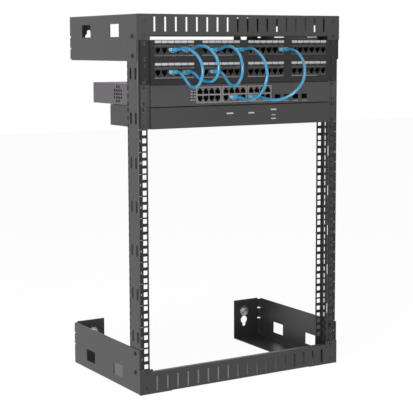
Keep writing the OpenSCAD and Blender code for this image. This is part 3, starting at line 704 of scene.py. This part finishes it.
for name, width, finish_name in (
        ("upper_panel", 0.35, "panel_steel"), ("lower_panel", 0.35, "panel_steel"),
        ("switch_case", 0.4, "case_steel"), ("switch_fascia", 0.6, "case_plastic"),
        ("switch_ears", 0.3, "case_plastic"), ("console_case", 0.5, "console_steel"),
        ("console_fascia", 0.8, "console_plastic"), ("console_ears", 0.3, "console_plastic"),
        ("upper_panel_ports", 0.25, "port_face"), ("lower_panel_ports", 0.25, "port_face"),
        ("switch_ports", 0.25, "shield_steel"), ("switch_fibre_cages", 0.15, "cage_steel"),
        ("wall_bolts", 0.5, "zinc_steel"), ("wall_washers", 0.2, "zinc_steel"),
        ("cage_nuts", 0.3, "zinc_steel"), ("bracket_screws", 0.4, "black_steel")):
    skin = soften(name, width * MM, finish_name, SLOT_OF.get(finish_name))
    low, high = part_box(name)
    if name in ("upper_panel", "lower_panel"):
        move_edge(skin, high.z, 0.3 * MM, PANEL_STRETCH)
        move_edge(skin, low.z, 0.3 * MM, -PANEL_STRETCH)
    if name.endswith("fascia"):
        move_edge(skin, high.z, 1.5 * MM, -SHADOW_GAP)
    # Black inside the ports is the jacks' own plastic; inside the fibre cages it is partly painted
    # shade.
    if name.endswith(("_ports", "_cages")):
        paint_faces(skin, "black_plastic", lambda c, n: c.y > low.y + 0.5 * MM)
    # Painted shade: black inside the vents of the switch case.
    if name == "switch_case":
        paint_faces(skin, "black_plastic", lambda c, n: (
            high.x - 9 * MM < abs(c.x) < high.x - 0.6 * MM and abs(c.y) < VENT_FIELD
            and unit_z(SWITCH) + 2 * MM < c.z < unit_z(LOWER) - 2 * MM))
    print(skin.name, len(skin.data.polygons), "faces")

# %% [markdown]
# ## Screws
#
# Pan head screws with a cross recess hold the rails and the equipment. The head is a cylinder
# whose front rim is bevelled round, which takes fewer faces than a flattened ball. The cross is
# cut with two crossed blocks.

# %% Model one screw and copy it to every hole
HEAD_RADIUS, HEAD_TALL = 6.0 * MM, 3.5 * MM


def make_screw():
    head = rod("screw", HEAD_RADIUS, -HEAD_TALL, 0, sides=32)
    take(head)
    bpy.ops.object.mode_set(mode="EDIT")
    bpy.ops.mesh.select_all(action="DESELECT")
    bpy.ops.object.mode_set(mode="OBJECT")
    for edge in head.data.edges:
        edge.select = all(head.data.vertices[v].co.y < 0.1 * MM - HEAD_TALL for v in edge.vertices)
    bpy.ops.object.mode_set(mode="EDIT")
    bpy.ops.mesh.select_mode(type="EDGE")
    bpy.ops.mesh.bevel(offset=2.6 * MM, segments=5, profile=0.6)
    done(head)
    across = block("across", (-3 * MM, -5 * MM, -0.65 * MM), (3 * MM, -1.6 * MM, 0.65 * MM))
    upright = block("upright", (-0.65 * MM, -5 * MM, -3 * MM), (0.65 * MM, -1.6 * MM, 3 * MM))
    cut_with(head, join([across, upright], "cross"))
    shank = bevel(rod("shank", 3 * MM, -0.2 * MM, 14 * MM, sides=20), 0.6 * MM, 2)
    return smooth(join([head, shank], "screw"), 40)


RAIL_HEIGHTS = (12.4 * MM, 44.5 * MM)         # up from the foot, and down from the top
EAR_HEIGHTS = (6.35, 38.1)                    # first and last square hole of a unit, mm
top = cad_bounds[1][2]
rail_places = [(s * HOLE_X, FRONT, z) for s in (-1, 1) for h in RAIL_HEIGHTS for z in (h, top - h)]
ear_places = [(s * HOLE_X, FRONT, unit_z(u) + h * MM) for s in (-1, 1)
              for u in (CONSOLE, SWITCH, LOWER, UPPER) for h in EAR_HEIGHTS]
screw = paint(make_screw(), "black_steel")
rail_screws = spread(copy_to(screw, "pattern"), "rail_screw_heads", rail_places)
ear_screws = spread(screw, "equipment_screw_heads", ear_places)
put(rail_screws, "black_steel", "rail_screws")
put(ear_screws, "black_steel", "equipment_screws")
print("screws:", len(rail_places) + len(ear_places))

# %% [markdown]
# ## Ports
#
# Each port of a patch panel has a thin raised rim, which is a block with its middle cut out.
# Every port has eight gold contact wires at the side away from the latch: thin blocks whose back
# end is pulled down, so that they slope. One set is made and copied to all the ports.

# %% Rims around the ports of the patch panels
def make_rim(wide, tall, rim, proud):
    outer = block("rim", (-wide / 2, -proud, -tall / 2), (wide / 2, 0.2 * MM, tall / 2))
    inner = block("hole", (-wide / 2 + rim, -1 * MM, -tall / 2 + rim),
                  (wide / 2 - rim, 1 * MM, tall / 2 - rim))
    return bevel(cut_with(outer, inner), 0.15 * MM, 1)


def panel_port_places(unit, drop=0.0):
    return [(port_x(p), PANEL_FACE, port_z(unit) - drop) for p in range(1, 25)]


for unit, label in ((UPPER, "upper"), (LOWER, "lower")):
    rim = paint(make_rim(14.4 * MM, 13.4 * MM, 0.9 * MM, 0.6 * MM), "panel_steel")
    rims = spread(rim, f"{label}_panel_port_rims", panel_port_places(unit, PORT_RISE))
    put(rims, "panel_steel")
    print(rims.name, len(rims.data.polygons), "faces")

# %% Gold contacts
WIRE_PITCH = 1.02 * MM


def make_contacts():
    wires = []
    for i in range(8):
        wire = block(f"wire_{i}", ((i - 3.75) * WIRE_PITCH, 4 * MM, 3.2 * MM),
                     ((i - 3.25) * WIRE_PITCH, 11 * MM, 3.5 * MM))
        edit_faces(wire, lambda c, n: n.y > 0.9)
        bpy.ops.transform.translate(value=(0, 0, -2.4 * MM))
        done(wire)
        wires.append(wire)
    return join(wires, "contacts")


contacts = paint(make_contacts(), "gold_contacts")
for unit, label in ((UPPER, "upper"), (LOWER, "lower")):
    pattern = copy_to(contacts, "pattern")
    wires = spread(pattern, f"{label}_panel_contacts", panel_port_places(unit))
    put(wires, "zinc_steel")
upside_down = Matrix.Rotation(math.pi, 4, "Y")
flipped = copy_to(contacts, "flipped", turn=upside_down)
columns = [switch_port_x(g, c) for g in range(3) for c in range(4)]
lower_row = [(x, BOX_FACE, switch_port_z(-1)) for x in columns]
upper_row = [(x, BOX_FACE, switch_port_z(1)) for x in columns]
low_wires = spread(contacts, "switch_contacts_low", lower_row)
high_wires = spread(flipped, "switch_contacts_high", upper_row)
put(join([low_wires, high_wires], "switch_contacts"), "zinc_steel")
print("contacts in 2 patch panels and", 2 * len(columns), "switch ports")

# %% [markdown]
# ## Labels and print
#
# Above the ports, each panel has a row of white label inserts, one to a port, with small plain
# numbers below them. The posts carry a number and a short line at each unit, so that equipment
# can be set level on both sides. Numbers are text turned into thin meshes: crisp at any
# distance, and part of the shape.

# %% Label strips
def make_label():
    return bevel(block("label", (-6.9 * MM, -0.85 * MM, -2.5 * MM), (6.9 * MM, 0, 2.5 * MM)),
                 0.25 * MM, 2)


def words(name, texts, size, places, turn, finish_name):
    """Small printed numbers, each made a thin mesh at its place."""
    made = []
    for text, place in zip(texts, places):
        clear()
        bpy.ops.object.text_add(location=place, rotation=turn)
        item = bpy.context.active_object
        item.data.body = text
        item.data.size = size
        item.data.align_x = "CENTER"
        item.data.align_y = "CENTER"
        item.data.extrude = 0.04 * MM
        item.data.resolution_u = 2
        bpy.ops.object.convert(target="MESH")
        made.append(settle(bpy.context.active_object))
    return paint(join(made, name), finish_name)


FACING_FRONT = (math.radians(90), 0, 0)
LABEL_DROP = 3.85 * MM                        # from the top of the unit to the middle of a label
NUMBER_DROP = 4.2 * MM                        # from there to the number
for unit, label in ((UPPER, "upper"), (LOWER, "lower")):
    z = unit_z(unit + 1) - LABEL_DROP
    places = [(port_x(p), PANEL_FACE, z) for p in range(1, 25)]
    strip = paint(make_label(), "label_paper")
    labels = spread(strip, f"{label}_panel_label_inserts", places)
    put(labels, "label_paper", f"{label}_panel_labels")
    numbers = words(f"{label}_panel_numbers", [str(p) for p in range(1, 25)], 2.2 * MM,
                    [(x, y - 0.1 * MM, z - NUMBER_DROP) for x, y, z in places], FACING_FRONT,
                    "print_cream")
    put(numbers, "label_paper")
    print(labels.name, "and", numbers.name)

# %% Unit numbers and lines on the posts
MARKS_X = 242.4 * MM                          # between the square holes and the bend
number_places = [(s * MARKS_X, POST_FACE - 0.02 * MM, unit_z(u) + UNIT / 2)
                 for s in (-1, 1) for u in range(1, 12)]
unit_numbers = words("unit_numbers", [str(u) for s in (-1, 1) for u in range(1, 12)], 6.4 * MM,
                     number_places, FACING_FRONT, "print_white")
put(unit_numbers, "label_paper")
line = block("line", (-3.2 * MM, -0.04 * MM, -0.3 * MM), (3.2 * MM, 0.02 * MM, 0.3 * MM))
unit_lines = spread(line, "unit_lines", [(s * MARKS_X, POST_FACE, unit_z(u))
                                         for s in (-1, 1) for u in range(1, 13)])
put(paint(unit_lines, "print_white"), "label_paper")
print("units numbered 1 to 11")

# %% [markdown]
# ## Front of the switch
#
# The ports sit in three groups of eight. A thin raised rim runs round each group, with a bar
# between its two rows. Short ticks beside the groups mark the lamps, and a line marks each
# fibre slot.

# %% Rims of the port groups
group_rims = []
for g in range(3):
    x = GROUPS_X + (g - 1) * GROUP_PITCH
    z = unit_z(SWITCH) + GROUP_RISE
    rim = make_rim(58.6 * MM, 32.6 * MM, 0.9 * MM, 0.5 * MM)
    group_rims.append(copy_to(rim, f"rim_{g}", (x, BOX_FACE, z)))
    bpy.data.objects.remove(rim)
    bar = block("bar", (x - 28 * MM, BOX_FACE - 0.4 * MM, z - 0.5 * MM),
                (x + 28 * MM, BOX_FACE + 0.1 * MM, z + 0.5 * MM))
    group_rims.append(bevel(bar, 0.12 * MM, 1))
rims = paint(join(group_rims, "switch_group_rims"), "print_cream")
put(rims, "case_plastic")
print(rims.name, len(rims.data.polygons), "faces")

# %% Ticks and lines on the switch and the console
def tick(unit, x, h, wide, tall):
    """A printed mark on the front of a box, with its middle at x and h above the unit's base."""
    z = unit_z(unit) + h * MM
    return block("tick", ((x - wide / 2) * MM, BOX_FACE - 0.06 * MM, z - tall * MM / 2),
                 ((x + wide / 2) * MM, BOX_FACE + 0.02 * MM, z + tall * MM / 2))


LAMP_ROWS = (12, 18, 24, 30)
ticks = [tick(SWITCH, -127.5, h, 4, 1.4) for h in LAMP_ROWS]
ticks += [tick(SWITCH, -120.25, h, 5.5, 0.9) for h in LAMP_ROWS]
ticks += [tick(SWITCH, x, 5, 13, 0.8) for x in (83.5, 106.5, 129.5, 152.5)]
switch_print = paint(join(ticks, "switch_print"), "print_white")
put(switch_print, "label_paper")
marks = [tick(CONSOLE, *mark) for mark in ((-36, 27, 16, 3), (17, 26.5, 14, 3), (73, 32, 14, 3),
                                           (73, 20.5, 10, 1.6), (73, 13, 12, 2.2))]
console_print = paint(join(marks, "console_print"), "print_white")
put(console_print, "label_paper")
print("marks:", len(ticks) + len(marks))

# %% [markdown]
# ## Wire terminals at the back of the patch panels
#
# Behind each block of ports, two rows of slotted plastic posts take the wires of the building.
# A row is a comb: thin teeth on a base, each pinched at its tip so that a wire slides in between.
# One comb is made and copied behind every block.

# %% Model the terminal blocks
TOOTH_PITCH = 3.7 * MM
COMB_RISE = 6.3 * MM                          # a comb off the middle of its block


def make_terminals():
    base = block("base", (-45.3 * MM, 0, -10.5 * MM), (45.3 * MM, 6.5 * MM, 10.5 * MM))
    teeth = [bevel(base, 0.4 * MM, 2)]
    for row in (-1, 1):
        for i in range(25):
            x = (i - 12) * TOOTH_PITCH
            tooth = block("tooth", (x - 0.75 * MM, 6 * MM, row * COMB_RISE - 3.4 * MM),
                          (x + 0.75 * MM, 13.9 * MM, row * COMB_RISE + 3.4 * MM))
            edit_faces(tooth, lambda c, n: n.y > 0.9)
            bpy.ops.transform.resize(value=(0.5, 1, 0.86))
            done(tooth)
            teeth.append(tooth)
    return join(teeth, "terminals")


terminals = paint(make_terminals(), "case_plastic")
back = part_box("upper_panel_terminals")[0].y
for unit, label in ((UPPER, "upper"), (LOWER, "lower")):
    places = [((b - 1.5) * BLOCK_PITCH, back, unit_z(unit) + BLOCK_RISE) for b in range(4)]
    combs = spread(copy_to(terminals, "pattern"), f"{label}_panel_terminal_combs", places)
    put(combs, "black_plastic", f"{label}_panel_terminals")
    print(combs.name, len(combs.data.polygons), "faces")
bpy.data.objects.remove(terminals)

# %% [markdown]
# ## Floor and light
#
# A pale floor and a white room. The lamps are large and soft, and the room's own light is
# plain. What the camera sees directly, in a reflection or through something clear is white, so
# that the background stays clean without more light on the rack, and metal mirrors it too. The
# floor keeps a share of its own shading, which is where the shadow shows.

# %% Tell which rays should see white
def clean_view(tree):
    """1 for rays from the camera, also by way of a reflection or something clear."""
    ray = node(tree, "ShaderNodeLightPath")
    direct = node(tree, "ShaderNodeMath", operation="MAXIMUM")
    clean = node(tree, "ShaderNodeMath", operation="MAXIMUM")
    tree.links.new(ray.outputs["Is Camera Ray"], direct.inputs[0])
    tree.links.new(ray.outputs["Is Glossy Ray"], direct.inputs[1])
    tree.links.new(direct.outputs[0], clean.inputs[0])
    tree.links.new(ray.outputs["Is Transmission Ray"], clean.inputs[1])
    return clean.outputs[0]


print("white for camera, glossy and transmission rays")

# %% Lay the floor
WHITE_SHARE = 0.80                            # of the floor that is plain white to the camera
clear()
bpy.ops.mesh.primitive_plane_add(size=14, location=(0, 0, -0.5 * MM))
floor = bpy.context.active_object
floor.name = "floor"
ground = bpy.data.materials.new("floor_paper")
ground.use_nodes = True
tree = ground.node_tree
tree.nodes.clear()
matte = node(tree, "ShaderNodeBsdfDiffuse")
matte.inputs["Color"].default_value = (0.86, 0.86, 0.86, 1)
glow = node(tree, "ShaderNodeEmission")
glow.inputs["Color"].default_value = (1, 1, 1, 1)
glow.inputs["Strength"].default_value = 1.18
share = node(tree, "ShaderNodeMath", operation="MULTIPLY")
share.inputs[1].default_value = WHITE_SHARE
blend = node(tree, "ShaderNodeMixShader")
out = node(tree, "ShaderNodeOutputMaterial")
tree.links.new(clean_view(tree), share.inputs[0])
tree.links.new(share.outputs[0], blend.inputs["Fac"])
tree.links.new(matte.outputs[0], blend.inputs[1])
tree.links.new(glow.outputs[0], blend.inputs[2])
tree.links.new(blend.outputs[0], out.inputs["Surface"])
floor.data.materials.append(ground)
print("floor laid")

# %% Light the room
def room_light(level):
    """White where the camera looks past the rack, and an even soft light on the rack."""
    world = bpy.data.worlds.new("room")
    scene.world = world
    world.use_nodes = True
    tree = world.node_tree
    tree.nodes.clear()
    seen = node(tree, "ShaderNodeBackground")
    seen.inputs["Color"].default_value = (1, 1, 1, 1)
    seen.inputs["Strength"].default_value = 1
    light = node(tree, "ShaderNodeBackground")
    light.inputs["Color"].default_value = (1, 1, 1, 1)
    light.inputs["Strength"].default_value = level
    blend = node(tree, "ShaderNodeMixShader")
    out = node(tree, "ShaderNodeOutputWorld")
    tree.links.new(clean_view(tree), blend.inputs["Fac"])
    tree.links.new(light.outputs[0], blend.inputs[1])
    tree.links.new(seen.outputs[0], blend.inputs[2])
    tree.links.new(blend.outputs[0], out.inputs["Surface"])
    return world


def lamp(name, place, towards, size, watts):
    light = bpy.data.lights.new(name, "AREA")
    light.shape = "SQUARE"
    light.size = size
    light.energy = watts
    item = bpy.data.objects.new(name, light)
    scene.collection.objects.link(item)
    item.location = place
    item.rotation_euler = (Vector(towards) - Vector(place)).to_track_quat("-Z", "Y").to_euler()
    return item


room_light(0.12)
lamp("left_softbox", (-2.5, -1.7, 0.30), (-0.2, -0.1, 0.3), 1.2, 70)
lamp("front_softbox", (0.9, -3.2, 1.4), (0, 0, 0.4), 1.6, 10)
lamp("top_softbox", (-0.6, -1.0, 2.8), (0, 0, 0.6), 1.4, 12)
print("room lit")
